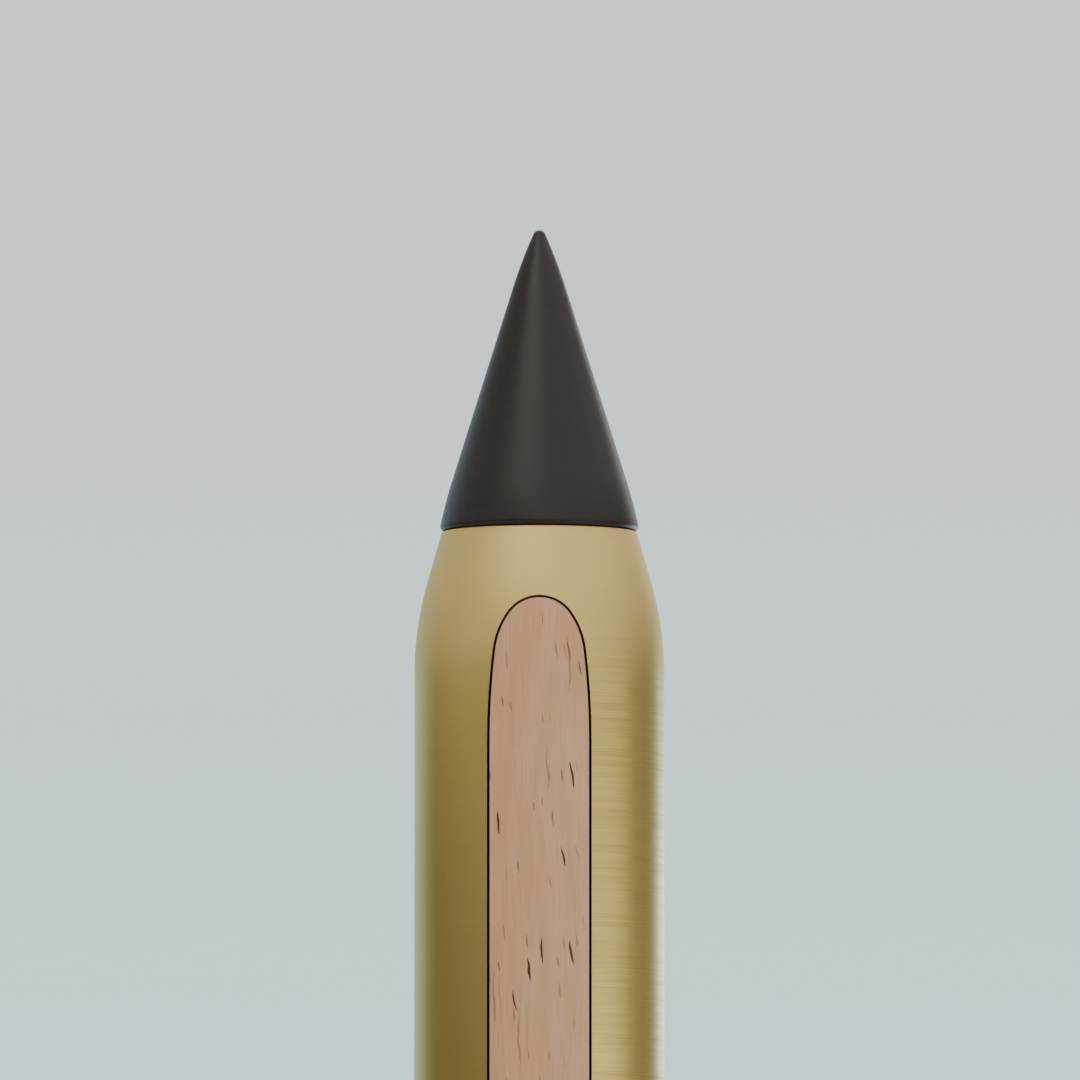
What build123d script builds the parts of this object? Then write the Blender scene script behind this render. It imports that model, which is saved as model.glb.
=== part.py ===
from build123d import *
import os
from math import ceil, cos, radians, sin, tan

# An inkless metal pencil that stands on its flat tail with the writing tip up.
# Z is the pencil's axis, z = 0 is the tail's flat face and the wood inlay faces -Y.
# Sizes are in millimetres and angles in degrees.

# Barrel, a turned brass tube whose nose draws in towards the tip
barrel_diameter = 10.0
barrel_length = 121.6
barrel_wall = 1.0
nose_draw_in = 1.1
nose_taper_angle = 16.0
nose_blend_radius = 13.6
nose_rim_round = 0.12
nose_rim_wall = 0.9
nose_length = 9.0

# Writing tip, a cone of graphite alloy that ends in a rounded point
tip_overhang = 0.25
tip_edge_round = 0.43
tip_half_angle = 17.3
tip_ogive_radius = 6.5
tip_ogive_angle = 30.5
tip_point_radius = 0.28

# Threaded stud that is bonded into the tip
stud_spigot_length = 5.0
stud_spigot_step = 0.35
stud_collar_length = 0.5
stud_groove_count = 2
stud_groove_depth = 0.15
stud_groove_width = 0.5
stud_groove_spacing = 1.4
stud_neck_length = 1.25
stud_relief_length = 0.6
stud_thread_length = 4.0
stud_pilot_length = 0.5
stud_thread_pitch = 0.7

# Bush in the nose that takes the stud
bush_wall = 1.0
bush_flange_thickness = 2.0
bush_thread_length = 6.0

# Thread form, the same on the stud and on the tail cap
thread_depth = 0.32
thread_crest_width = 0.15
thread_flank_angle = 30.0
thread_clearance = 0.06
thread_relief_depth = 0.06
thread_mouth_depth = 0.3

# Wood inlay, its pocket in the barrel and what it is glued to
inlay_width = 4.02
inlay_gap = 0.1
inlay_nose_setback = 2.95
inlay_tail_setback = 14.0
inlay_nose_turn = 55.0
inlay_shoulder_turn = 28.0
inlay_shoulder_radius = 3.2
inlay_flank_radius = 35.0
pocket_overcut = 0.1
glue_film_thickness = 0.1
glue_film_margin = 0.15
liner_wall = 0.8
liner_pad_thickness = 1.0

# Tail cap, screwed into the barrel
tail_cap_length = 6.0
tail_cap_round = 0.6
tail_relief_length = 0.7
tail_thread_length = 4.0
tail_pilot_length = 0.7
tail_thread_pitch = 0.75
tail_spigot_wall = 1.4
tail_socket_relief_length = 0.9
tail_gasket_thickness = 0.4
tail_gasket_recess = 0.28

# Clearances of pieces that fit in each other and of faces that seat on each other
fit_clearance = 0.02
seat_gap = 0.02
ring_clearance = 0.05
bond_gap = 0.04

# Radii, from the outside of the barrel inwards
barrel_radius = barrel_diameter / 2
nose_rim_radius = barrel_radius - nose_draw_in
tip_base_radius = nose_rim_radius + tip_overhang
bore_radius = barrel_radius - barrel_wall
liner_radius = bore_radius - fit_clearance
tail_thread_radius = bore_radius + thread_depth - thread_clearance
nose_bore_radius = nose_rim_radius - nose_rim_wall
bush_neck_radius = nose_bore_radius - fit_clearance
stud_radius = bush_neck_radius - bush_wall - thread_clearance
stud_spigot_radius = stud_radius - stud_spigot_step
o_ring_section = nose_bore_radius - stud_radius - 2 * ring_clearance

# Heights along the axis, from the tail up
tail_thread_bottom = tail_cap_length + tail_relief_length
tail_thread_top = tail_thread_bottom + tail_thread_length
tail_spigot_top = tail_thread_top + tail_pilot_length
barrel_bottom = tail_cap_length + tail_gasket_thickness + 2 * seat_gap
liner_pad_bottom = tail_spigot_top + seat_gap
liner_bottom = liner_pad_bottom + liner_pad_thickness
nose_top = barrel_bottom + barrel_length
nose_step = nose_top - nose_length
liner_top = nose_step - bush_flange_thickness
inlay_bottom = barrel_bottom + inlay_tail_setback
inlay_top = nose_top - inlay_nose_setback
tip_base = nose_top + seat_gap
bush_top = tip_base - o_ring_section - 2 * ring_clearance
stud_thread_top = nose_top - stud_neck_length - stud_relief_length
stud_thread_bottom = stud_thread_top - stud_thread_length


def ring_section(inner_radius, outer_radius, low, high):
    """Half section of a plain ring or, with an inner radius of 0, of a disc."""
    with BuildSketch(Plane.XZ) as section:
        with BuildLine():
            Polyline(
                (inner_radius, low),
                (outer_radius, low),
                (outer_radius, high),
                (inner_radius, high),
                close=True,
            )
        make_face()
    return section.sketch


def thread_relief_radius(crest_radius):
    """Radius of a plain stretch beside a thread, a little under the thread's root."""
    return crest_radius - thread_depth - thread_relief_depth


def thread_rod(pitch, low, high, crest_radius, clearance=0.0):
    """A right-hand threaded rod, grown by a clearance where it stands for the hole around it."""
    crest = crest_radius + clearance
    root = crest - thread_depth
    crest_width = thread_crest_width + 2 * clearance
    root_width = crest_width + 2 * thread_depth * tan(radians(thread_flank_angle))
    # Across the rod, each flank runs from crest to root at a steady rate over these angles
    flank_start = radians(180 * crest_width / pitch)
    flank_end = radians(180 * root_width / pitch)
    flank_point_count = 7
    flank = []
    for index in range(flank_point_count):
        share = index / (flank_point_count - 1)
        radius = crest + share * (root - crest)
        angle = flank_start + share * (flank_end - flank_start)
        flank.append((radius * cos(angle), radius * sin(angle)))
    with BuildPart() as rod:
        with BuildLine() as axis:
            Line((0, 0, low), (0, 0, high))
        with BuildLine() as guide:
            Helix(pitch, high - low, crest, center=(0, 0, low))
        with BuildSketch(Plane.XY.offset(low)) as section:
            with BuildLine():
                left = Spline(*flank)
                right = Spline(*[(x, -y) for x, y in flank])
                ThreePointArc(left @ 0, (crest, 0), right @ 0)
                ThreePointArc(left @ 1, (-root, 0), right @ 1)
            make_face()
        sweep(section.sketch, path=axis.line, binormal=guide.line.edge())
    # A solid made afresh from the swept shell has its faces outwards at any size
    return Solid(rod.part.shells()[0])


def barrel_outline():
    """Half section of the barrel's outside, filled in to the axis."""
    taper_length = nose_draw_in / tan(radians(nose_taper_angle))
    with BuildSketch(Plane.XZ) as outline:
        with BuildLine():
            Polyline(
                (0, barrel_bottom),
                (barrel_radius, barrel_bottom),
                (barrel_radius, nose_top - taper_length),
                (nose_rim_radius, nose_top),
                (0, nose_top),
                close=True,
            )
        make_face()
        shoulder_corner = outline.vertices().group_by(Axis.X)[-1].sort_by(Axis.Y)[-1]
        fillet(shoulder_corner, nose_blend_radius)
        rim_corner = outline.vertices().group_by(Axis.Y)[-1].sort_by(Axis.X)[-1]
        fillet(rim_corner, nose_rim_round)
    return outline.sketch


def inlay_outline(outset):
    """The inlay's outline with two bullet ends, grown by outset on every side."""
    half_width = inlay_width / 2 + outset
    half_length = (inlay_top - inlay_bottom) / 2 + outset
    shoulder_radius = inlay_shoulder_radius + outset
    flank_radius = inlay_flank_radius + outset
    flank_turn = 90 - inlay_nose_turn - inlay_shoulder_turn
    nose_exit = sin(radians(inlay_nose_turn))
    shoulder_exit = cos(radians(flank_turn))
    shoulder_reach = shoulder_radius * (shoulder_exit - nose_exit)
    flank_reach = flank_radius * (1 - shoulder_exit)
    nose_radius = (half_width - shoulder_reach - flank_reach) / nose_exit
    middle_height = (inlay_top + inlay_bottom) / 2
    with BuildSketch(Plane((0, 0, middle_height), x_dir=(1, 0, 0), z_dir=(0, -1, 0))) as outline:
        with BuildLine():
            nose = JernArc((0, half_length), (1, 0), nose_radius, -inlay_nose_turn)
            shoulder = JernArc(nose @ 1, nose % 1, shoulder_radius, -inlay_shoulder_turn)
            flank = JernArc(shoulder @ 1, shoulder % 1, flank_radius, -flank_turn)
            Line(flank @ 1, (half_width, 0))
            mirror(about=Plane.XZ)
            mirror(about=Plane.YZ)
        make_face()
    return outline.sketch


# Writing tip: cone flank, ogive and rounded point, with a stepped blind hole for the stud
tip_flank = radians(tip_half_angle)
tip_ogive = radians(tip_ogive_angle)
tip_flank_end = tip_point_radius * cos(tip_ogive) + tip_ogive_radius * (cos(tip_flank) - cos(tip_ogive))
tip_flank_height = (tip_base_radius - tip_flank_end) / tan(tip_flank)
tip_ogive_height = tip_ogive_radius * (sin(tip_ogive) - sin(tip_flank))
tip_point_height = tip_point_radius * (1 - sin(tip_ogive))
tip_top = tip_base + tip_flank_height + tip_ogive_height + tip_point_height
collar_top = tip_base + stud_collar_length
stud_top = collar_top + stud_spigot_length
with BuildPart() as writing_tip:
    with BuildSketch(Plane.XZ) as tip_section:
        with BuildLine():
            point = JernArc((0, tip_top), (1, 0), tip_point_radius, tip_ogive_angle - 90)
            ogive = JernArc(point @ 1, point % 1, tip_ogive_radius, tip_half_angle - tip_ogive_angle)
            Polyline(ogive @ 1, (tip_base_radius, tip_base), (0, tip_base), (0, tip_top))
        make_face()
        base_corner = tip_section.vertices().sort_by(Axis.X)[-1]
        fillet(base_corner, tip_edge_round)
    revolve(axis=Axis.Z)
    revolve(
        ring_section(0, stud_radius + bond_gap, tip_base, collar_top + bond_gap),
        axis=Axis.Z,
        mode=Mode.SUBTRACT,
    )
    revolve(
        ring_section(0, stud_spigot_radius + bond_gap, tip_base, stud_top + bond_gap),
        axis=Axis.Z,
        mode=Mode.SUBTRACT,
    )

# Tip stud: spigot with glue grooves, plain neck for the ring, relief, thread and pilot
stud_relief_radius = thread_relief_radius(stud_radius)
stud_neck_bottom = stud_thread_top + stud_relief_length
stud_pilot_bottom = stud_thread_bottom - stud_pilot_length
stud_thread = thread_rod(stud_thread_pitch, stud_thread_bottom, stud_thread_top, stud_radius)
with BuildPart() as tip_stud:
    revolve(ring_section(0, stud_spigot_radius, collar_top, stud_top), axis=Axis.Z)
    for number in range(stud_groove_count):
        groove_bottom = collar_top + (number + 1) * stud_groove_spacing
        groove_top = groove_bottom + stud_groove_width
        revolve(
            ring_section(stud_spigot_radius - stud_groove_depth, stud_radius, groove_bottom, groove_top),
            axis=Axis.Z,
            mode=Mode.SUBTRACT,
        )
    revolve(ring_section(0, stud_radius, stud_neck_bottom, collar_top), axis=Axis.Z)
    revolve(ring_section(0, stud_relief_radius, stud_thread_top, stud_neck_bottom), axis=Axis.Z)
    add(stud_thread)
    revolve(ring_section(0, stud_relief_radius, stud_pilot_bottom, stud_thread_bottom), axis=Axis.Z)

# Tip ring: a round rubber section in the seat between the tip, the bush and the nose
with BuildPart() as tip_o_ring:
    with BuildSketch(Plane.XZ):
        with Locations(((stud_radius + nose_bore_radius) / 2, (bush_top + tip_base) / 2)):
            Circle(o_ring_section / 2)
    revolve(axis=Axis.Z)

# Nose bush: a flange under the step in the nose, and a neck that is tapped for the stud
bush_mouth_bottom = bush_top - thread_mouth_depth
bush_thread_bottom = bush_mouth_bottom - bush_thread_length
bush_hole_radius = stud_radius + 2 * thread_clearance
bush_turns_below = ceil((stud_thread_bottom - bush_thread_bottom) / stud_thread_pitch) + 1
bush_thread = thread_rod(
    stud_thread_pitch,
    stud_thread_bottom - bush_turns_below * stud_thread_pitch,
    (bush_mouth_bottom + bush_top) / 2,
    stud_radius,
    thread_clearance,
)
with BuildPart() as nose_bush:
    revolve(ring_section(0, bush_neck_radius, nose_step, bush_top), axis=Axis.Z)
    revolve(ring_section(0, liner_radius, liner_top, nose_step), axis=Axis.Z)
    for low, high in ((liner_top, bush_thread_bottom), (bush_mouth_bottom, bush_top)):
        revolve(ring_section(0, bush_hole_radius, low, high), axis=Axis.Z, mode=Mode.SUBTRACT)
    add(bush_thread, mode=Mode.SUBTRACT)

# Pocket for the inlay, cut past the bore so that it opens onto the liner
with BuildPart() as inlay_pocket:
    extrude(inlay_outline(inlay_gap), amount=barrel_radius, dir=(0, -1, 0))
    revolve(
        ring_section(0, bore_radius - pocket_overcut, barrel_bottom, nose_top),
        axis=Axis.Z,
        mode=Mode.SUBTRACT,
    )

# Barrel: a tube with a tapered nose, the inlay's pocket and the tail cap's thread
tail_mouth_top = barrel_bottom + thread_mouth_depth
tail_socket_relief_top = liner_pad_bottom + tail_socket_relief_length
tail_hole_radius = tail_thread_radius + 2 * thread_clearance
tail_turns_below = ceil((tail_thread_bottom - barrel_bottom) / tail_thread_pitch) + 1
tail_socket_thread = thread_rod(
    tail_thread_pitch,
    tail_thread_bottom - tail_turns_below * tail_thread_pitch,
    (liner_pad_bottom + tail_socket_relief_top) / 2,
    tail_thread_radius,
    thread_clearance,
)
with BuildPart() as barrel:
    revolve(barrel_outline(), axis=Axis.Z)
    revolve(ring_section(0, nose_bore_radius, nose_step, nose_top), axis=Axis.Z, mode=Mode.SUBTRACT)
    revolve(ring_section(0, bore_radius, liner_pad_bottom, nose_step), axis=Axis.Z, mode=Mode.SUBTRACT)
    add(inlay_pocket.part, mode=Mode.SUBTRACT)
    for low, high in ((barrel_bottom, tail_mouth_top), (liner_pad_bottom, tail_socket_relief_top)):
        revolve(ring_section(0, tail_hole_radius, low, high), axis=Axis.Z, mode=Mode.SUBTRACT)
    add(tail_socket_thread, mode=Mode.SUBTRACT)

# Wood inlay: a strip flush with the barrel, hollowed to sit on the glue film
with BuildPart() as wood_inlay:
    extrude(inlay_outline(0), amount=barrel_radius, dir=(0, -1, 0))
    revolve(barrel_outline(), axis=Axis.Z, mode=Mode.INTERSECT)
    revolve(
        ring_section(0, bore_radius + glue_film_thickness, barrel_bottom, nose_top),
        axis=Axis.Z,
        mode=Mode.SUBTRACT,
    )

# Glue film: a thin curved strip between the wood and the liner
with BuildPart() as inlay_glue_film:
    extrude(inlay_outline(-glue_film_margin), amount=barrel_radius, dir=(0, -1, 0))
    revolve(
        ring_section(bore_radius, bore_radius + glue_film_thickness, barrel_bottom, nose_top),
        axis=Axis.Z,
        mode=Mode.INTERSECT,
    )

# Liner tube: backs the wood and holds the bush against the step in the nose
liner_bore_radius = liner_radius - liner_wall
with BuildPart() as liner_tube:
    revolve(ring_section(liner_bore_radius, liner_radius, liner_bottom, liner_top), axis=Axis.Z)

# Liner pad: a rubber ring between the tail cap and the liner
with BuildPart() as liner_pad:
    revolve(ring_section(liner_bore_radius, liner_radius, liner_pad_bottom, liner_bottom), axis=Axis.Z)

# Tail cap: a flat-ended button with a hollow threaded spigot
tail_relief_radius = thread_relief_radius(tail_thread_radius)
tail_bore_radius = tail_relief_radius - tail_spigot_wall
tail_thread = thread_rod(tail_thread_pitch, tail_thread_bottom, tail_thread_top, tail_thread_radius)
with BuildPart() as tail_cap:
    with BuildSketch(Plane.XY):
        Circle(barrel_radius)
    extrude(amount=tail_cap_length)
    fillet(tail_cap.edges().sort_by(Axis.Z)[0], tail_cap_round)
    revolve(ring_section(0, tail_relief_radius, tail_cap_length, tail_thread_bottom), axis=Axis.Z)
    add(tail_thread)
    revolve(ring_section(0, tail_relief_radius, tail_thread_top, tail_spigot_top), axis=Axis.Z)
    revolve(
        ring_section(0, tail_bore_radius, tail_cap_length, tail_spigot_top),
        axis=Axis.Z,
        mode=Mode.SUBTRACT,
    )

# Tail gasket: a thin ring, set back from the surface, between the cap and the barrel
gasket_bottom = tail_cap_length + seat_gap
gasket_inner_radius = tail_thread_radius + ring_clearance
gasket_outer_radius = barrel_radius - tail_gasket_recess
with BuildPart() as tail_gasket:
    revolve(
        ring_section(
            gasket_inner_radius, gasket_outer_radius, gasket_bottom, gasket_bottom + tail_gasket_thickness
        ),
        axis=Axis.Z,
    )

os.makedirs("parts", exist_ok=True)
pieces = {
    "writing_tip": writing_tip,
    "tip_stud": tip_stud,
    "tip_o_ring": tip_o_ring,
    "nose_bush": nose_bush,
    "barrel": barrel,
    "wood_inlay": wood_inlay,
    "inlay_glue_film": inlay_glue_film,
    "liner_tube": liner_tube,
    "liner_pad": liner_pad,
    "tail_cap": tail_cap,
    "tail_gasket": tail_gasket,
}
for name, piece in pieces.items():
    piece.part.label = name
    export_step(piece.part, f"parts/{name}.step")
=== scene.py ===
# %% [markdown]
# # An inkless metal pencil
# The pencil is a turned brass tube with a strip of beech let into its front. A cone of graphite alloy
# screws into the nose, and a brass cap screws into the tail. The construction comes packed from CAD and is
# loaded here as a fixed frame. This lesson gives it its looks. The pieces that show most are modelled
# afresh, with soft edges and finer curves, and every surface gets a material that is made of nodes.

# %% Load the frame
from math import cos, pi, radians, sin, sqrt, tan

import bmesh
import bpy
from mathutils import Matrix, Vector


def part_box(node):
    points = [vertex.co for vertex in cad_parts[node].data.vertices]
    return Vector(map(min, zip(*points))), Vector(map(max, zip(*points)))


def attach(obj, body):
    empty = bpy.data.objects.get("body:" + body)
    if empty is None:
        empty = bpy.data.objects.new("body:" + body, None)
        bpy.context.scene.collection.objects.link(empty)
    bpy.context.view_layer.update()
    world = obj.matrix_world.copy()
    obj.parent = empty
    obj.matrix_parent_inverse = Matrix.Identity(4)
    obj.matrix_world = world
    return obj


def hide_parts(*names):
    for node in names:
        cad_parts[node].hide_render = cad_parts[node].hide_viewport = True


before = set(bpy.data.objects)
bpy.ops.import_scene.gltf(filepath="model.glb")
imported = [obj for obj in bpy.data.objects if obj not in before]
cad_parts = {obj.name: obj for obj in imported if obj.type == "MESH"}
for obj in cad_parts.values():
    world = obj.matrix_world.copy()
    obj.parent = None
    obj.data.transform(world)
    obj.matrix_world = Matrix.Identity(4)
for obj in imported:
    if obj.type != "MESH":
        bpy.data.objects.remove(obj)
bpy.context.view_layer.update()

MM = 0.001

# %% [markdown]
# ## Places from the frame
# Blender decides no place here. The box of each CAD node says where its piece starts and ends, so the new
# pieces land on the old ones without any fitting. Only the sizes that a box can't tell, such as a taper or
# the radius of an edge, are written out below, beside the piece that they belong to.

# %% Read the boxes of the pieces
barrel_low, barrel_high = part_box("barrel")
tip_low, tip_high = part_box("writing_tip")
inlay_low, inlay_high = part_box("wood_inlay")
stud_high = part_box("tip_stud")[1]
barrel_radius = barrel_high.x
print("barrel is", round(2 * barrel_radius / MM, 2), "mm across")
print("cone is", round(2 * tip_high.x / MM, 2), "mm across")

# %% [markdown]
# ## Helpers for materials
# A colour is easiest to pick as an sRGB hex value, as in a paint program, but shaders work in linear
# light. One function turns the one into the other. A second one adds a node, sets its properties and fills
# its inputs, so that a material reads as a short list of what happens to the surface. Inputs whose names
# repeat go by number. In a Map Range, 1 and 2 are the range that comes in, and 3 and 4 the range that goes
# out, which is 0 to 1 unless it is given. In a Mix, 0 is the share of the second of two inputs: 2 and 3
# for numbers, 6 and 7 for colours.

# %% Colour and node helpers
def linear(hex_code):
    """An sRGB hex colour as linear red, green, blue and alpha."""
    channels = [int(hex_code[place:place + 2], 16) / 255 for place in (1, 3, 5)]
    return [c / 12.92 if c <= 0.04045 else ((c + 0.055) / 1.055) ** 2.4 for c in channels] + [1.0]


def add_node(tree, kind, inputs=None, **settings):
    """Adds a node. An input takes a value, an output to link, or a node for its first active output."""
    node = tree.nodes.new("ShaderNode" + kind)
    for name, value in settings.items():
        setattr(node, name, value)
    for key, value in (inputs or {}).items():
        if isinstance(value, bpy.types.Node):
            value = next(output for output in value.outputs if output.enabled)
        if isinstance(value, bpy.types.NodeSocket):
            tree.links.new(value, node.inputs[key])
        else:
            node.inputs[key].default_value = value
    return node


def start_material(name):
    """A new material, its empty node tree and the coordinates of the object that wears it."""
    material = bpy.data.materials.new(name)
    material.use_nodes = True
    tree = material.node_tree
    tree.nodes.clear()
    place = add_node(tree, "TexCoord").outputs["Object"]
    return material, tree, place


def per_mm(*sizes):
    """Scales that make one unit of a pattern as large as each of these sizes in millimetres."""
    return [1 / (size * MM) for size in sizes]


print("helpers ready: white is", linear("#ffffff")[:3])

# %% [markdown]
# ## Brushed brass
# The barrel and the tail cap are turned brass, finished on the lathe with a fine abrasive pad. The pad
# leaves scratches that run round the tube, so light spreads up and down it and stays crisp from side to
# side. That is anisotropic gloss. The scratches could be a flat pattern that is wrapped round the tube,
# but it would have a seam. Here they are rings, from a noise that knows only the height, and a second
# noise fades each ring in and out, which leaves dashes. Noise in space has no seam.

# %% Brass: scratches
# Turned brass: warm yellow metal with fine scratches round the axis, and a plainer satin nose
brass, tree, place = start_material("turned_brass")
along = add_node(tree, "SeparateXYZ", {0: place})
# Real scratches are about a hundredth of a millimetre wide, and these rings are just wide enough to show
ring_mm = 0.04
level = add_node(tree, "Math", {0: along.outputs["Z"], 1: per_mm(ring_mm)[0]}, operation="MULTIPLY")
rings = add_node(tree, "TexNoise", {"W": level, "Scale": 1.0, "Detail": 1.0}, noise_dimensions="1D")

# Each row holds the width, depth and height of a grain in millimetres, and the detail of the noise
brass_grains = {
    "dash": ((1.3, 1.3, 0.15), 1.0),  # how far a scratch runs before it fades
    "streak": ((8.0, 8.0, 0.14), 1.0),  # wider marks, one to a pass of the pad
    "patch": ((7.0, 7.0, 11.0), 2.0),  # where hands have deepened the tone a little
}
brass_grain = {}
for name, (sizes_mm, detail) in brass_grains.items():
    size = add_node(tree, "Mapping", {"Vector": place, "Scale": per_mm(*sizes_mm)})
    brass_grain[name] = add_node(tree, "TexNoise", {"Vector": size, "Scale": 1.0, "Detail": detail})

strength = add_node(tree, "MapRange", {"Value": brass_grain["dash"], 1: 0.4, 2: 0.7, 3: 0.1})
scratches = add_node(tree, "Mix", {0: strength, 2: 0.5, 3: rings})
brushing = add_node(
    tree, "Math", {0: brass_grain["streak"], 1: 0.5, 2: scratches}, operation="MULTIPLY_ADD"
)
print("scratches of the brass take", len(tree.nodes), "nodes")

# %% [markdown]
# The pad stops short of the nose, which keeps the finer satin of the lathe. The scratches are made
# stronger towards the right side, where the light falls and shows them. One number says how strong they
# are. Colour, gloss and relief all use it, so that they agree. A scratch bares paler metal where it is
# fresh, and holds a little dirt where it is deep; on the right these pale and dark streaks are partly
# painted highlight and painted shade.

# %% Brass: where the scratches show, on the lit right side
satin_bottom = barrel_high.z - 6.5 * MM
satin_top = barrel_high.z - 3.5 * MM
satin_roughness = 0.18
# The streaks grow stronger towards the right, where the light falls; in the colour this is partly painted
# highlight and painted shade
lit_side_start = -1.5 * MM
lit_side_full = 2.5 * MM

satin_range = {"Value": along.outputs["Z"], 1: satin_bottom, 2: satin_top, 4: satin_roughness}
satin = add_node(tree, "MapRange", satin_range)
brushed_part = add_node(tree, "MapRange", {"Value": satin, 2: satin_roughness, 3: 1.0, 4: 0.1})
right_range = {"Value": along.outputs["X"], 1: lit_side_start, 2: lit_side_full, 3: 0.2}
right = add_node(tree, "MapRange", right_range)
streaks_on_lit_side = add_node(tree, "Math", {0: brushed_part, 1: right}, operation="MULTIPLY")
print("brass is satin above", round(satin_top / MM, 1), "mm")

# %% Brass: colour
aged = add_node(tree, "MapRange", {"Value": brass_grain["patch"], 1: 0.35, 2: 0.7})
bare = add_node(tree, "MapRange", {"Value": scratches, 1: 0.42, 2: 0.26, 4: 0.8})
dirt = add_node(tree, "MapRange", {"Value": brushing, 1: 0.7, 2: 0.95, 4: 0.38})
# Pale and dark streaks, strongest on the lit right side: fresh metal and dirt, and partly painted highlight
# and painted shade
fresh_and_highlight_streaks = add_node(tree, "Math", {0: bare, 1: streaks_on_lit_side}, operation="MULTIPLY")
dirt_and_shade_streaks = add_node(tree, "Math", {0: dirt, 1: streaks_on_lit_side}, operation="MULTIPLY")

handled = add_node(tree, "Mix", {0: aged, 6: linear("#efd57f"), 7: linear("#e6ca6f")}, data_type="RGBA")
# The satin nose gets a paler, cooler brass tone than the barrel: a painted highlight for the bright light
# its shoulder reflects
tone = add_node(tree, "Mix", {0: brushed_part, 6: linear("#ebd087"), 7: handled}, data_type="RGBA")
worn_and_highlit = add_node(tree, "Mix", {0: fresh_and_highlight_streaks, 6: tone, 7: linear("#fbe79c")}, data_type="RGBA")
scratched_and_shaded = add_node(tree, "Mix", {0: dirt_and_shade_streaks, 6: worn_and_highlit, 7: linear("#b99b50")}, data_type="RGBA")
print("brass colour takes", len(tree.nodes), "nodes so far")

# %% Brass: gloss and relief
brushed_roughness = 0.39
scratch_depth = 0.002 * MM

uneven = add_node(tree, "MapRange", {"Value": brushing, 1: 0.55, 2: 0.95, 3: -0.07, 4: 0.07})
brushed = add_node(tree, "Math", {0: uneven, 1: streaks_on_lit_side, 2: brushed_roughness}, operation="MULTIPLY_ADD")
gloss = add_node(tree, "Math", {0: brushed, 1: satin}, operation="ADD")
relief = add_node(tree, "Math", {0: streaks_on_lit_side, 1: 0.45}, operation="MULTIPLY")
height = add_node(tree, "Bump", {"Strength": relief, "Distance": scratch_depth, "Height": brushing})
# Anisotropic gloss needs a direction to follow, and this one runs round the axis as the scratches do
round_the_axis = add_node(tree, "Tangent", direction_type="RADIAL", axis="Z")
shader = add_node(tree, "BsdfPrincipled", {
    "Base Color": scratched_and_shaded,
    "Metallic": 1.0,
    "Roughness": gloss,
    "Anisotropic": 0.2,
    "Anisotropic Rotation": 0.25,
    "Normal": height,
    "Tangent": round_the_axis,
})
add_node(tree, "OutputMaterial", {"Surface": shader})
print("made", brass.name, "with", len(tree.nodes), "nodes")

# %% [markdown]
# ## Graphite alloy
# The writing tip is pressed and sintered from graphite and metal powder, then turned and polished by use.
# It looks like satin black stone with a brownish cast. A plain black shader would do from afar, but close
# up the eye reads the soft highlight first and the fine grain second. So the gloss is low and nearly even,
# and the grain goes into the colour and a very shallow bump.

# %% Graphite material
# Sintered graphite: nearly black, satin, with fine grain and faint lathe lines round the cone
graphite, tree, place = start_material("sintered_graphite")
# Real powder grains are a few hundredths of a millimetre, and these are drawn larger so that they show
powder_mm = (0.12, 0.12, 0.12)
lathe_line_mm = (4.0, 4.0, 0.09)
powder_depth = 0.002 * MM

powder_size = add_node(tree, "Mapping", {"Vector": place, "Scale": per_mm(*powder_mm)})
powder_look = {"Vector": powder_size, "Scale": 1.0, "Detail": 4.0, "Roughness": 0.65}
powder = add_node(tree, "TexNoise", powder_look)
line_size = add_node(tree, "Mapping", {"Vector": place, "Scale": per_mm(*lathe_line_mm)})
lines = add_node(tree, "TexNoise", {"Vector": line_size, "Scale": 1.0, "Detail": 2.0})
both = add_node(tree, "Math", {0: lines, 1: 0.6, 2: powder}, operation="MULTIPLY_ADD")
share = add_node(tree, "MapRange", {"Value": both, 1: 0.5, 2: 1.1})
colour = add_node(tree, "Mix", {0: share, 6: linear("#17130f"), 7: linear("#221c16")}, data_type="RGBA")
gloss = add_node(tree, "MapRange", {"Value": share, 3: 0.36, 4: 0.46})
height = add_node(tree, "Bump", {"Strength": 0.2, "Distance": powder_depth, "Height": both})
shader = add_node(tree, "BsdfPrincipled", {
    "Base Color": colour,
    "Roughness": gloss,
    "IOR": 1.47,
    "Normal": height,
})
add_node(tree, "OutputMaterial", {"Surface": shader})
print("made", graphite.name, "with", len(tree.nodes), "nodes")

# %% [markdown]
# ## Beech
# The inlay is beech, sanded and oiled. Its ground is a pinkish tan with hardly any contrast, made of
# noises that are stretched along the strip. The noises are flat: they know the width and the height, and
# not the depth, so the curve of the surface doesn't change them.

# %% Beech: grain
# Oiled beech: dull pinkish tan with fine upright grain, thin brown pores and sparse dark rays
beech, tree, place = start_material("oiled_beech")
apart = add_node(tree, "SeparateXYZ", {0: place})
flat = add_node(tree, "CombineXYZ", {"X": apart.outputs["X"], "Y": apart.outputs["Z"]})

# Each row holds the width and length of a grain in millimetres, and the detail of the noise
beech_grains = {
    "fibre": (0.07, 2.2, 3.0),  # fine threads, drawn a few times as wide as real fibres so that they show
    "band": (0.8, 5.0, 2.0),  # broad, faint changes of tone
    "wander": (1.5, 1.8, 2.0),  # how far the fibres stray from a straight line
}
beech_grain = {}
for name, (width, length, detail) in beech_grains.items():
    size = add_node(tree, "Mapping", {"Vector": flat, "Scale": per_mm(width, length, 1.0)})
    inputs = {"Vector": size, "Scale": 1.0, "Detail": detail}
    beech_grain[name] = add_node(tree, "TexNoise", inputs, noise_dimensions="2D")
print("grain of the beech takes", len(tree.nodes), "nodes")

# %% [markdown]
# What gives beech away are its flecks, which lie along the grain and lean a little. Pores are long brown
# threads, and rays are short and dark. They could be modelled as tiny grooves, but there are hundreds.
# Here a Voronoi pattern with long cells gives one fleck to each cell, and the random colour of the cell
# decides how far the fleck reaches and how dark it is. The straying noise bends them, because no fibre is
# quite straight.

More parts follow.
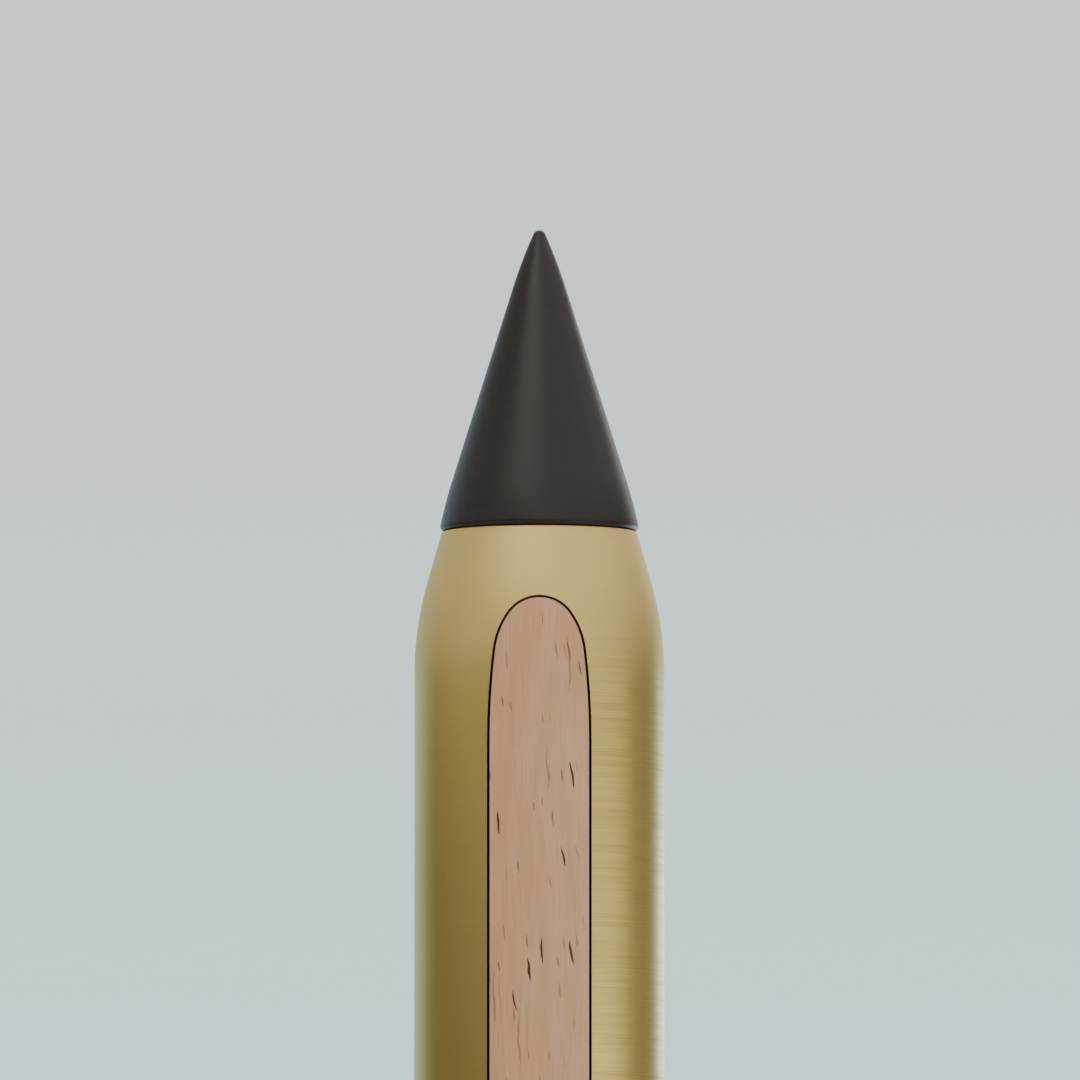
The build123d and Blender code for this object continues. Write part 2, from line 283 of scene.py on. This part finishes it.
# %% Beech: flecks
def flecks(width, length, lean, reach, rarity, darkness):
    """Long thin spots, one to a cell of this many millimetres, each with its own size and tone."""
    tree = beech.node_tree
    # A fleck strays by about a third of its cell's width
    sway = 0.35 * width * MM
    shift = add_node(tree, "MapRange", {"Value": beech_grain["wander"], 3: -sway, 4: sway})
    aside = add_node(tree, "CombineXYZ", {"X": shift})
    bent = add_node(tree, "VectorMath", {0: flat, 1: aside}, operation="ADD")
    turned = add_node(tree, "Mapping", {"Vector": bent, "Rotation": (0, 0, lean)})
    size = add_node(tree, "Mapping", {"Vector": turned, "Scale": per_mm(width, length, 1.0)})
    cells = add_node(tree, "TexVoronoi", {"Vector": size, "Scale": 1.0}, voronoi_dimensions="2D")
    chance = add_node(tree, "SeparateColor", {0: cells.outputs["Color"]})
    radius = add_node(tree, "MapRange", {"Value": chance.outputs[1], 3: 0.6 * reach, 4: 1.2 * reach})
    inner = add_node(tree, "Math", {0: cells.outputs["Distance"], 1: radius}, operation="DIVIDE")
    spot = add_node(tree, "MapRange", {"Value": inner, 1: 1.0, 2: 0.55})
    tone = add_node(tree, "MapRange", {"Value": chance.outputs[0], 1: rarity, 2: 1.0, 3: 0.0, 4: darkness})
    return add_node(tree, "Math", {0: spot, 1: tone}, operation="MULTIPLY")


pores = flecks(width=0.5, length=16.0, lean=radians(-2), reach=0.085, rarity=0.0, darkness=0.65)
strokes = flecks(width=0.4, length=3.4, lean=radians(-6), reach=0.1, rarity=0.35, darkness=0.95)
rays = flecks(width=0.62, length=6.2, lean=radians(-6), reach=0.085, rarity=0.5, darkness=2.0)
thin = add_node(tree, "Math", {0: pores, 1: strokes}, operation="MAXIMUM")
print("grain and flecks of the beech take", len(tree.nodes), "nodes")

# %% Beech: colour and relief
fibre_depth = 0.008 * MM
painted_edge_highlight_depth = 0.012 * MM

bands = add_node(tree, "MapRange", {"Value": beech_grain["band"], 1: 0.3, 2: 0.7})
threads = add_node(tree, "MapRange", {"Value": beech_grain["fibre"], 1: 0.45, 2: 0.85, 4: 0.5})
# The rounded edge is painted paler, a painted highlight where it catches the light. The depth is kept on
# the mesh that is shaped below
low = add_node(tree, "Attribute", attribute_name="depth")
edge = add_node(tree, "MapRange", {"Value": low.outputs["Fac"], 1: 0.0, 2: painted_edge_highlight_depth, 4: 0.7})
# Each tint is laid over the ones before it
tints = [(bands, "#d2a57f"), (threads, "#ba8660"), (thin, "#775139"), (rays, "#4a2f1b"), (edge, "#ecccae")]
colour = linear("#cc9c72")
for amount, hex_code in tints:
    colour = add_node(tree, "Mix", {0: amount, 6: colour, 7: linear(hex_code)}, data_type="RGBA")
hollow = add_node(tree, "Math", {0: beech_grain["fibre"], 1: rays}, operation="SUBTRACT")
height = add_node(tree, "Bump", {"Strength": 0.4, "Distance": fibre_depth, "Height": hollow})
shader = add_node(tree, "BsdfPrincipled", {
    "Base Color": colour,
    "Roughness": 0.55,
    "IOR": 1.45,
    "Normal": height,
})
add_node(tree, "OutputMaterial", {"Surface": shader})
print("made", beech.name, "with", len(tree.nodes), "nodes")

# %% [markdown]
# ## Materials of the inner pieces
# The stud and the bush are free-cutting steel, the liner is drawn aluminium tube, the rings are black
# rubber and the film under the wood is set glue. They show only when the tip or the cap is unscrewed, or
# through a gap, but each has its own grain: tool marks round the steel, die lines along the tube, a dull
# bloom on the rubber. One noise is enough for each, so one function makes all four.

# %% Steel, aluminium, rubber and glue
def grained_material(name, dark, light, metallic, gloss_range, grain_mm, depth_mm):
    """A material with one noise, stretched to the grain's size, that varies colour, gloss and height."""
    material, tree, place = start_material(name)
    size = add_node(tree, "Mapping", {"Vector": place, "Scale": per_mm(*grain_mm)})
    grain = add_node(tree, "TexNoise", {"Vector": size, "Scale": 1.0, "Detail": 3.0})
    share = add_node(tree, "MapRange", {"Value": grain, 1: 0.3, 2: 0.7})
    colour = add_node(tree, "Mix", {0: share, 6: linear(dark), 7: linear(light)}, data_type="RGBA")
    gloss = add_node(tree, "MapRange", {"Value": share, 3: gloss_range[0], 4: gloss_range[1]})
    height = add_node(tree, "Bump", {"Strength": 0.4, "Distance": depth_mm * MM, "Height": grain})
    shader = add_node(tree, "BsdfPrincipled", {
        "Base Color": colour,
        "Metallic": metallic,
        "Roughness": gloss,
        "Normal": height,
    })
    add_node(tree, "OutputMaterial", {"Surface": shader})
    return material


# Turned steel: grey metal with tool marks round the axis
steel = grained_material(
    "turned_steel", "#a9a8a5", "#c4c3c0", metallic=1.0,
    gloss_range=(0.25, 0.38), grain_mm=(1.5, 1.5, 0.05), depth_mm=0.002,
)
# Drawn aluminium: pale metal with die lines along the tube
aluminium = grained_material(
    "drawn_aluminium", "#c3c5c8", "#d8dadc", metallic=1.0,
    gloss_range=(0.3, 0.42), grain_mm=(0.06, 0.06, 5.0), depth_mm=0.002,
)
# Nitrile rubber: black, dull and slightly grey where it has bloomed
rubber = grained_material(
    "nitrile_rubber", "#141414", "#232322", metallic=0.0,
    gloss_range=(0.6, 0.75), grain_mm=(0.1, 0.1, 0.1), depth_mm=0.004,
)
# Set contact glue: dark amber film with an uneven surface
glue = grained_material(
    "contact_glue", "#3a2a18", "#54402a", metallic=0.0,
    gloss_range=(0.35, 0.55), grain_mm=(0.4, 0.4, 0.9), depth_mm=0.01,
)
print("made", [material.name for material in (steel, aluminium, rubber, glue)])

# %% [markdown]
# ## Drawing and turning
# Round pieces are made as on a lathe: half an outline is drawn beside the axis and spun once round it. The
# outline could be a long list of points. Here it is drawn with a pen that has two moves. A line extrudes
# the last vertex to a new place, and an arc spins that vertex about a centre, so a round corner needs no
# list.

# %% Pen
def draw_line(bm, vertex, x, z):
    """Extrudes the last vertex of an outline to a new place in the XZ plane."""
    new = bmesh.ops.extrude_vert_indiv(bm, verts=[vertex])["verts"][0]
    new.co = (x, 0, z)
    return new


def draw_arc(bm, vertex, centre, turn, steps):
    """Spins the last vertex about a centre. A positive turn is clockwise seen from the front."""
    middle = (centre[0], 0, centre[1])
    spun = bmesh.ops.spin(bm, geom=[vertex], cent=middle, axis=(0, 1, 0), angle=turn, steps=steps)
    return next(part for part in spun["geom_last"] if isinstance(part, bmesh.types.BMVert))


print("pen ready: it draws lines and arcs in the XZ plane")

# %% Lathe and finishing
JOIN = 0.0001 * MM
SHARP = radians(32)


def turn_on_lathe(bm, steps):
    """Spins the outline once round the pencil's axis and turns its faces outwards."""
    outline = bm.verts[:] + bm.edges[:]
    bmesh.ops.spin(
        bm, geom=outline, cent=(0, 0, 0), axis=(0, 0, 1), angle=2 * pi, steps=steps, use_merge=True
    )
    bmesh.ops.remove_doubles(bm, verts=bm.verts[:], dist=JOIN)
    bmesh.ops.recalc_face_normals(bm, faces=bm.faces[:])


def make_object(name, bm):
    """Puts a finished bmesh into a new object in the scene."""
    mesh = bpy.data.meshes.new(name)
    bm.to_mesh(mesh)
    bm.free()
    made = bpy.data.objects.new(name, mesh)
    bpy.context.scene.collection.objects.link(made)
    return made


def finish_piece(piece, material, body, node):
    """Smooths a piece up to its sharp edges, gives it its material and puts it in its node's place."""
    piece.data.shade_smooth()
    piece.data.set_sharp_from_angle(angle=SHARP)
    piece.data.materials.clear()
    piece.data.materials.append(material)
    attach(piece, body)
    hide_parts(node)
    print(piece.name, "has", len(piece.data.polygons), "faces and rides on", body)


print("lathe ready: vertices closer than", JOIN / MM, "mm become one")

# %% [markdown]
# ## Writing tip
# The cone's point is rounded by wear. Below it come a slight ogive, a straight flank and, near the base, a
# slight belly. The base edge is rounded too, and stands a little proud of the brass. A cone primitive
# would have none of that, so the half outline is drawn and turned. It ends in the stepped blind hole that
# holds the collar and the spigot of the threaded stud.

# %% Sizes of the writing tip
tip_point_radius = 0.26 * MM
tip_ogive_radius = 19.5 * MM
tip_ogive_angle = radians(24.3)
tip_half_angle = radians(17.4)
tip_belly_radius = 20.0 * MM
tip_belly_angle = radians(12)
tip_edge_round = 0.2 * MM
tip_facets = 192
spigot_radius = 1.57 * MM
collar_length = 0.5 * MM
bond_gap = 0.04 * MM

point_height = tip_point_radius * (1 - sin(tip_ogive_angle))
ogive_height = tip_ogive_radius * (sin(tip_ogive_angle) - sin(tip_half_angle))
belly_height = tip_belly_radius * (sin(tip_half_angle) - sin(tip_belly_angle))
edge_height = tip_edge_round * (sin(tip_belly_angle) + 1)
flank_height = tip_high.z - tip_low.z - point_height - ogive_height - belly_height - edge_height
collar_hole = stud_high.x + bond_gap
collar_top = tip_low.z + collar_length + bond_gap
spigot_hole = spigot_radius + bond_gap
spigot_top = stud_high.z + bond_gap
print("straight flank of the cone is", round(flank_height / MM, 2), "mm high")

# %% Turn the writing tip
def draw_bend(bm, vertex, radius, start, end, steps):
    """Draws an arc that leaves the last vertex smoothly, from one angle of the surface to another."""
    centre = Vector((vertex.co.x, vertex.co.z)) - radius * Vector((cos(start), sin(start)))
    return draw_arc(bm, vertex, centre, start - end, steps)


bm = bmesh.new()
pen = bm.verts.new((0, 0, tip_high.z))
pen = draw_bend(bm, pen, tip_point_radius, pi / 2, tip_ogive_angle, steps=12)
pen = draw_bend(bm, pen, tip_ogive_radius, tip_ogive_angle, tip_half_angle, steps=14)
pen = draw_line(bm, pen, pen.co.x + flank_height * tan(tip_half_angle), pen.co.z - flank_height)
pen = draw_bend(bm, pen, tip_belly_radius, tip_half_angle, tip_belly_angle, steps=8)
pen = draw_bend(bm, pen, tip_edge_round, tip_belly_angle, -pi / 2, steps=14)
pen = draw_line(bm, pen, collar_hole, tip_low.z)
pen = draw_line(bm, pen, collar_hole, collar_top)
pen = draw_line(bm, pen, spigot_hole, collar_top)
pen = draw_line(bm, pen, spigot_hole, spigot_top)
draw_line(bm, pen, 0, spigot_top)
turn_on_lathe(bm, tip_facets)
writing_tip = make_object("graphite_cone", bm)
finish_piece(writing_tip, graphite, "tip", "writing_tip")

# %% [markdown]
# ## Barrel
# The barrel is a tube whose nose draws in with a long blend and a straight taper, and ends in a crisp rim.
# A cylinder could be bevelled and scaled into that, but its curves would have to be found by eye. It is
# turned from one closed outline instead, outside and inside. The pocket for the wood comes afterwards, as
# it does in the workshop, where a mill follows the turning.

# %% Sizes of the barrel
nose_draw_in = 1.1 * MM
nose_taper = radians(16)
nose_blend_radius = 13.6 * MM
nose_rim_round = 0.12 * MM
nose_rim_wall = 0.9 * MM
nose_length = 9.0 * MM
barrel_wall = 1.0 * MM
barrel_facets = 240
tail_edge_round = 0.1 * MM
tail_socket_radius = 4.38 * MM
tail_socket_depth = 5.88 * MM

corner_height = barrel_high.z - nose_draw_in / tan(nose_taper)
blend_reach = nose_blend_radius * tan(nose_taper / 2)
blend_bottom = corner_height - blend_reach
blend_top = corner_height + blend_reach * cos(nose_taper)
blend_axis = barrel_radius - nose_blend_radius
rim_radius = barrel_radius - nose_draw_in
rim_turn = pi / 2 - nose_taper
rim_reach = nose_rim_round * tan(rim_turn / 2)
rim_centre = Vector((rim_radius - rim_reach, barrel_high.z - nose_rim_round))
rim_start = rim_centre + nose_rim_round * Vector((cos(nose_taper), sin(nose_taper)))
nose_bore = rim_radius - nose_rim_wall
bore = barrel_radius - barrel_wall
step_height = barrel_high.z - nose_length
socket_top = barrel_low.z + tail_socket_depth
tail_edge = (barrel_radius - tail_edge_round, barrel_low.z + tail_edge_round)
print("nose blend runs from", round(blend_bottom / MM, 2), "to", round(blend_top / MM, 2), "mm")

# %% Turn the barrel
bm = bmesh.new()
first = bm.verts.new((tail_socket_radius, 0, barrel_low.z))
pen = draw_line(bm, first, barrel_radius - tail_edge_round, barrel_low.z)
pen = draw_arc(bm, pen, tail_edge, -pi / 2, steps=5)
pen = draw_line(bm, pen, barrel_radius, blend_bottom)
pen = draw_arc(bm, pen, (blend_axis, blend_bottom), -nose_taper, steps=20)
pen = draw_line(bm, pen, *rim_start)
pen = draw_arc(bm, pen, rim_centre, -rim_turn, steps=6)
pen = draw_line(bm, pen, nose_bore, barrel_high.z)
pen = draw_line(bm, pen, nose_bore, step_height)
pen = draw_line(bm, pen, bore, step_height)
pen = draw_line(bm, pen, bore, socket_top)
pen = draw_line(bm, pen, tail_socket_radius, socket_top)
bm.edges.new((pen, first))
turn_on_lathe(bm, barrel_facets)
barrel = make_object("brass_barrel", bm)
print("turned the barrel with", len(barrel.data.polygons), "faces")

# %% [markdown]
# ## Inlay outline
# The wood strip is a long slot with bullet-shaped ends, flush with the barrel. Its outline could be cut
# out of the barrel's own faces, but these are far too coarse. It is drawn flat, as on paper, from arcs
# that run into each other. The face inside it is then sliced into narrow strips and wrapped onto the
# barrel: each vertex keeps its width and height, and moves out to the brass. A depth that is kept on each
# vertex lets an edge sit a little lower than the rest, which rounds it.

# %% Sizes of the inlay
inlay_nose_turn = radians(55)
inlay_shoulder_turn = radians(28)
inlay_flank_turn = pi / 2 - inlay_nose_turn - inlay_shoulder_turn
inlay_shoulder_radius = 3.2 * MM
inlay_flank_radius = 29.6 * MM
# The strip is sanded a little narrower than its solid, so that the dark gap beside it shows
inlay_sanding = 0.04 * MM
inlay_half_width = inlay_high.x - inlay_sanding


def barrel_surface(height):
    """Radius of the barrel's outside at a height."""
    if height <= blend_bottom:
        return barrel_radius
    if height <= blend_top:
        return blend_axis + sqrt(nose_blend_radius**2 - (height - blend_bottom) ** 2)
    return rim_radius + (barrel_high.z - height) * tan(nose_taper)


print("inlay is", round((inlay_high.z - inlay_low.z) / MM, 2), "mm long")
print("barrel's radius at its end is", round(barrel_surface(inlay_high.z) / MM, 2), "mm")

# %% Draw the inlay's outline
def draw_inlay(bm, outset):
    """Draws the inlay's outline, grown by an outset, and fills it with one flat face."""
    half_width = inlay_half_width + outset
    shoulder = inlay_shoulder_radius + outset
    flank = inlay_flank_radius + outset
    shoulder_width = shoulder * (cos(inlay_flank_turn) - sin(inlay_nose_turn))
    flank_width = flank * (1 - cos(inlay_flank_turn))
    nose = (half_width - shoulder_width - flank_width) / sin(inlay_nose_turn)
    # Each bend has a radius, a turn and a number of steps
    bends = [(nose, inlay_nose_turn, 14), (shoulder, inlay_shoulder_turn, 10), (flank, inlay_flank_turn, 4)]
    pen = bm.verts.new((0, 0, inlay_high.z + outset))
    facing = 0.0
    for side in (1, -1):
        for turns in (bends, bends[::-1]):
            for radius, turn, steps in turns:
                centre = Vector((pen.co.x, pen.co.z)) - radius * Vector((sin(facing), cos(facing)))
                pen = draw_arc(bm, pen, centre, turn, steps)
                facing += turn
            if turns is bends:
                pen = draw_line(bm, pen, side * half_width, inlay_high.z + inlay_low.z - pen.co.z)
    bmesh.ops.remove_doubles(bm, verts=bm.verts[:], dist=JOIN)
    return bmesh.ops.contextual_create(bm, geom=bm.edges[:])["faces"][0]


bm = bmesh.new()
print("inlay drawn flat covers", round(draw_inlay(bm, 0).calc_area() / MM**2, 1), "square mm")
bm.free()

# %% Slice a flat sheet and wrap it
slice_width = 0.15 * MM
slice_height = 0.22 * MM

columns = int(inlay_high.x / slice_width) + 1
rows = int((inlay_high.z - blend_bottom) / slice_height) + 1
cuts = [((column * slice_width, 0, 0), (1, 0, 0)) for column in range(-columns, columns + 1)]
cuts += [((0, 0, blend_bottom + row * slice_height), (0, 0, 1)) for row in range(rows)]


def slice_faces(bm):
    """Cuts all faces into narrow strips, and across them where the nose draws in."""
    for place, direction in cuts:
        parts = bm.verts[:] + bm.edges[:] + bm.faces[:]
        bmesh.ops.bisect_plane(bm, geom=parts, dist=JOIN, plane_co=place, plane_no=direction)


def wrap_on_barrel(bm, depth):
    """Moves each vertex out to the barrel's surface, less the depth that is kept on it."""
    for vertex in bm.verts:
        radius = barrel_surface(vertex.co.z) - vertex[depth]
        vertex.co.y = -sqrt(radius**2 - vertex.co.x**2)


print("a sheet is sliced", len(cuts), "times")

# %% [markdown]
# ## Pocket
# The pocket is cut with a Boolean modifier, and the cutter is made like a form tool: it flares at the
# mouth, so the cut edge of the brass comes out broken instead of razor sharp. A bevel after the cut would
# have to cross hundreds of tiny faces, and a flared cutter never meets that problem.

# %% Shape the cutter
inlay_gap = 0.075 * MM
pocket_edge = 0.02 * MM
pocket_depth = 1.1 * MM
cutter_rise = 1.0 * MM
cutter_flare = 0.01 * MM


def set_depth(parts, depth, value):
    """Keeps a depth on each vertex among these parts."""
    for part in parts:
        if isinstance(part, bmesh.types.BMVert):
            part[depth] = value


def open_edges(bm):
    """The edges that have only one face."""
    return [edge for edge in bm.edges if edge.is_boundary]


bm = bmesh.new()
depth = bm.verts.layers.float.new("depth")
face = draw_inlay(bm, inlay_gap + pocket_edge + cutter_flare)
set_depth(bm.verts, depth, -cutter_flare)
bmesh.ops.inset_region(bm, faces=[face], thickness=pocket_edge + cutter_flare, use_even_offset=True)
set_depth(face.verts, depth, pocket_edge)
bottom = bmesh.ops.extrude_face_region(bm, geom=[face])["geom"]
bmesh.ops.delete(bm, geom=[face], context="FACES_ONLY")
set_depth(bottom, depth, pocket_depth)
risen = bmesh.ops.extrude_edge_only(bm, edges=open_edges(bm))["geom"]
set_depth(risen, depth, -cutter_rise)
bmesh.ops.holes_fill(bm, edges=open_edges(bm))
slice_faces(bm)
wrap_on_barrel(bm, depth)
bmesh.ops.triangulate(bm, faces=bm.faces[:])
bmesh.ops.recalc_face_normals(bm, faces=bm.faces[:])
cutter = make_object("pocket_cutter", bm)
print("cutter has", len(cutter.data.polygons), "faces")

# %% Mill the pocket
pocket = barrel.modifiers.new("pocket", "BOOLEAN")
pocket.operation = "DIFFERENCE"
pocket.solver = "EXACT"
pocket.object = cutter
milled = bpy.data.meshes.new_from_object(barrel.evaluated_get(bpy.context.evaluated_depsgraph_get()))
barrel.modifiers.clear()
barrel.data = milled
bpy.data.objects.remove(cutter)
finish_piece(barrel, brass, "barrel", "barrel")

# %% [markdown]
# ## Wood inlay
# The strip of beech uses the same outline without the gap. Its edge is eased with fine paper before it is
# glued in, and that thin rounded edge catches a pale line of light along the gap; the colour also paints
# that edge paler, as a painted highlight. A bevel on the finished strip could make it, but it would have to
# cross hundreds of narrow slices. Three insets, each a little less deep than the last, make the rounding.
# The open rim is then extruded down to the underside, which is filled with one face and wrapped deeper.

# %% Shape the wood inlay
wood_edge = 0.09 * MM
wood_thickness = 0.9 * MM
wood_edge_steps = 3

bm = bmesh.new()
depth = bm.verts.layers.float.new("depth")
face = draw_inlay(bm, 0)
set_depth(bm.verts, depth, wood_edge)
for step in range(1, wood_edge_steps + 1):
    before = pi / 2 * (step - 1) / wood_edge_steps
    after = pi / 2 * step / wood_edge_steps
    width = wood_edge * (cos(before) - cos(after))
    bmesh.ops.inset_region(bm, faces=[face], thickness=width, use_even_offset=True)
    set_depth(face.verts, depth, wood_edge * (1 - sin(after)))
wall = bmesh.ops.extrude_edge_only(bm, edges=open_edges(bm))["geom"]
set_depth(wall, depth, wood_thickness)
bmesh.ops.holes_fill(bm, edges=open_edges(bm))
slice_faces(bm)
wrap_on_barrel(bm, depth)
bmesh.ops.recalc_face_normals(bm, faces=bm.faces[:])
wood_inlay = make_object("beech_inlay", bm)
finish_piece(wood_inlay, beech, "barrel", "wood_inlay")

# %% [markdown]
# ## Pieces that keep their CAD shape
# The stud, the bush, the rings, the liner, the glue film and the tail cap could be modelled afresh too.
# They are right as they are: their threads and bores are exact, and they show little. They keep their
# meshes, and only their materials change.

# %% Dress the CAD nodes
node_materials = {
    "tip_stud": steel,
    "nose_bush": steel,
    "tip_o_ring": rubber,
    "liner_pad": rubber,
    "tail_gasket": rubber,
    "liner_tube": aluminium,
    "inlay_glue_film": glue,
    "tail_cap": brass,
}
for name, material in node_materials.items():
    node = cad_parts[name]
    for slot in node.material_slots:
        slot.material = material
print("dressed", len(node_materials), "CAD nodes")

# %% [markdown]
# ## Floor
# The pencil stands on pale paper. A sweep of paper that curves up behind it would do, but it would also
# get in the way when the camera goes round. A flat disc that fades out far from the pencil has no visible
# edge from any side, and the room behind it takes over.

# %% Floor
floor_radius = 8.0
floor_facets = 96
fade_start = 0.5
fade_end = 2.5
mottle_mm = 4.0

bm = bmesh.new()
bmesh.ops.create_circle(bm, cap_ends=True, segments=floor_facets, radius=floor_radius)
floor = make_object("floor", bm)
# Metal would show the floor as a hard pale band, so reflections see only the room
floor.visible_glossy = False

# Matt paper: pale, with a mottling so faint that it only takes the flatness away
paper, tree, place = start_material("pale_paper")
mottle = add_node(tree, "TexNoise", {"Vector": place, "Scale": per_mm(mottle_mm)[0], "Detail": 3.0})
shade = add_node(tree, "Mix", {0: mottle, 6: linear("#f0f1ef"), 7: linear("#f5f6f4")}, data_type="RGBA")
card = add_node(tree, "BsdfPrincipled", {"Base Color": shade, "Roughness": 0.8})
away = add_node(tree, "VectorMath", {0: place}, operation="LENGTH")
fade = add_node(tree, "MapRange", {"Value": away.outputs["Value"], 1: fade_start, 2: fade_end})
beyond = add_node(tree, "BsdfTransparent")
sweep = add_node(tree, "MixShader", {0: fade, 1: card, 2: beyond})
add_node(tree, "OutputMaterial", {"Surface": sweep})
floor.data.materials.append(paper)
print("floor fades out between", fade_start, "and", fade_end, "m")

# %% [markdown]
# ## Room
# Brass shows what is round it, so the room matters as much as the lights. It has a bright backdrop behind
# the pencil, a bright ceiling, and dim walls at the sides and behind the camera, so that the metal has
# something dark to reflect. Walls could be modelled, but a world that changes with the direction is softer
# and costs nothing.

# %% Room
room = bpy.data.worlds.new("room")
room.use_nodes = True
tree = room.node_tree
tree.nodes.clear()
direction = add_node(tree, "SeparateXYZ", {0: add_node(tree, "TexCoord").outputs["Generated"]})

# Each row holds a part of the direction, the two places where a ramp starts and ends, and its two values.
# X is to the right, Y to the back and Z up
room_ramps = {
    "upward": ("Z", 0.035, 0.115, 0.0, 1.0),  # the backdrop goes from blue to grey above the horizon
    "behind": ("Y", 0.66, 0.92, 0.0, 1.1),  # the backdrop, straight behind the pencil
    "left": ("X", -0.45, -0.15, 0.28, 1.0),  # its left end is in shade
    "dim": ("X", -0.8, 0.8, 0.165, 0.23),  # walls, a little brighter on the right
    "ceiling": ("Z", 0.25, 0.6, 0.0, 1.0),  # where the ceiling starts
    "side": ("X", -1.0, 0.7, 0.64, 1.36),  # the ceiling is brighter on the right
    "lift": ("Y", 0.0, 0.6, 0.0, 0.55),  # and brighter still towards the back
    "below": ("Z", -0.35, -0.7, 0.0, 0.8),  # light that comes up from the floor
}
ramp = {}
for name, (axis, start, end, low, high) in room_ramps.items():
    inputs = {"Value": direction.outputs[axis], 1: start, 2: end, 3: low, 4: high}
    ramp[name] = add_node(tree, "MapRange", inputs)

back = add_node(
    tree, "Math", {0: ramp["behind"], 1: ramp["left"], 2: ramp["dim"]}, operation="MULTIPLY_ADD"
)
lit = add_node(tree, "Math", {0: ramp["side"], 1: ramp["lift"]}, operation="ADD")
above = add_node(tree, "Math", {0: ramp["ceiling"], 1: lit}, operation="MULTIPLY")
ends = add_node(tree, "Math", {0: above, 1: ramp["below"]}, operation="MAXIMUM")
bright = add_node(tree, "Math", {0: back, 1: ends}, operation="MAXIMUM")
backdrop_tints = {0: ramp["upward"], 6: linear("#d6f7ff"), 7: linear("#e5e2dc")}
backdrop = add_node(tree, "Mix", backdrop_tints, data_type="RGBA")
tint = add_node(tree, "Mix", {0: ramp["behind"], 6: linear("#fdfbf8"), 7: backdrop}, data_type="RGBA")
air = add_node(tree, "Background", {"Color": tint, "Strength": bright})
add_node(tree, "OutputWorld", {"Surface": air})
bpy.context.scene.world = room
print("room is made of", len(tree.nodes), "nodes")

# %% [markdown]
# ## Soft boxes
# The bands of light on the pencil come from soft boxes, which are lamps behind a white cloth. One large
# box would light everything alike. Small ones close to the pencil can each be aimed at one band: the
# highlight down the cone, the bright right side of the barrel, and the thin cool lines along both edges,
# which come from boxes behind it. The boxes are hidden from the camera and show only in the gloss.

# %% Soft boxes
nose_point = Vector((0, 0, barrel_high.z))


def soft_box(name, rise_mm, azimuth, elevation, distance_mm, width_mm, height_mm, glow, hex_code):
    """An area light that faces the axis, a rise above the rim. Azimuth 0 is the front, 90 the right."""
    turn = radians(azimuth)
    tilt = radians(elevation)
    away = Vector((sin(turn) * cos(tilt), -cos(turn) * cos(tilt), sin(tilt)))
    lamp = bpy.data.lights.new(name, "AREA")
    lamp.shape = "RECTANGLE"
    lamp.size = width_mm * MM
    lamp.size_y = height_mm * MM
    # The power follows the area, so that the glow of a box doesn't change with its size
    lamp.energy = pi * (width_mm * MM) * (height_mm * MM) * glow
    lamp.color = linear(hex_code)[:3]
    box = bpy.data.objects.new(name, lamp)
    box.location = nose_point + Vector((0, 0, rise_mm * MM)) + away * (distance_mm * MM)
    box.rotation_euler = away.to_track_quat("Z", "Y").to_euler()
    box.visible_camera = False
    bpy.context.scene.collection.objects.link(box)
    print(name, "at", [round(v, 3) for v in box.location])


# Highlight on the cone and the shoulder, then softer light round their left side
soft_box("tip_box", 5, -25, 45, 80, 50, 34, 2.15, "#fff9f0")
soft_box("left_box", 9, -62, 0, 50, 50, 18, 0.68, "#fffdf8")
soft_box("left_side_box", 9, -110, 0, 50, 40, 18, 0.36, "#fffdf8")
# Bright right side of the barrel, and even light from the right and the front
soft_box("right_box", -50, 57, 3, 70, 40, 60, 0.79, "#fcfcff")
soft_box("right_far_box", 0, 60, 7, 500, 560, 260, 0.54, "#fffaf2")
soft_box("front_box", 0, 12, 8, 400, 300, 240, 1.0, "#ffffff")
# Cool lines along the edges, from behind
soft_box("right_rim_box", -36, 151, 3, 100, 42, 56, 2.8, "#b8eaff")
soft_box("cone_rim_box", 12, 150, 12, 100, 30, 30, 1.2, "#f4fbff")
soft_box("left_rim_box", -16, -143, 3, 100, 64, 100, 0.56, "#a8e4ff")

# %% [markdown]
# ## Camera
# The picture is taken from straight in front and a little below the tip. A wide lens close by would make
# the barrel taper, so a long lens looks from further away, and the sides of the barrel stay parallel. The
# frame is 43.2 mm wide at the pencil and shows only its front end.

# %% Camera
frame_width = 43.2 * MM
camera_distance = 600 * MM
camera_rise = radians(4.3)
aim_right = 0.026 * MM
aim_drop = 0.32 * MM
sensor_mm = 36
nearest = 0.05
farthest = 50

camera_data = bpy.data.cameras.new("camera")
camera_data.sensor_width = sensor_mm
camera_data.lens = sensor_mm * camera_distance / frame_width
camera_data.clip_start = nearest
camera_data.clip_end = farthest
camera = bpy.data.objects.new("camera", camera_data)
aim = Vector((aim_right, 0, barrel_high.z - aim_drop))
looking = Vector((0, cos(camera_rise), sin(camera_rise)))
camera.location = aim - looking * camera_distance
camera.rotation_euler = looking.to_track_quat("-Z", "Y").to_euler()
bpy.context.scene.collection.objects.link(camera)
bpy.context.scene.camera = camera
bpy.context.scene.view_settings.view_transform = "AgX"
print("lens", round(camera_data.lens), "mm")
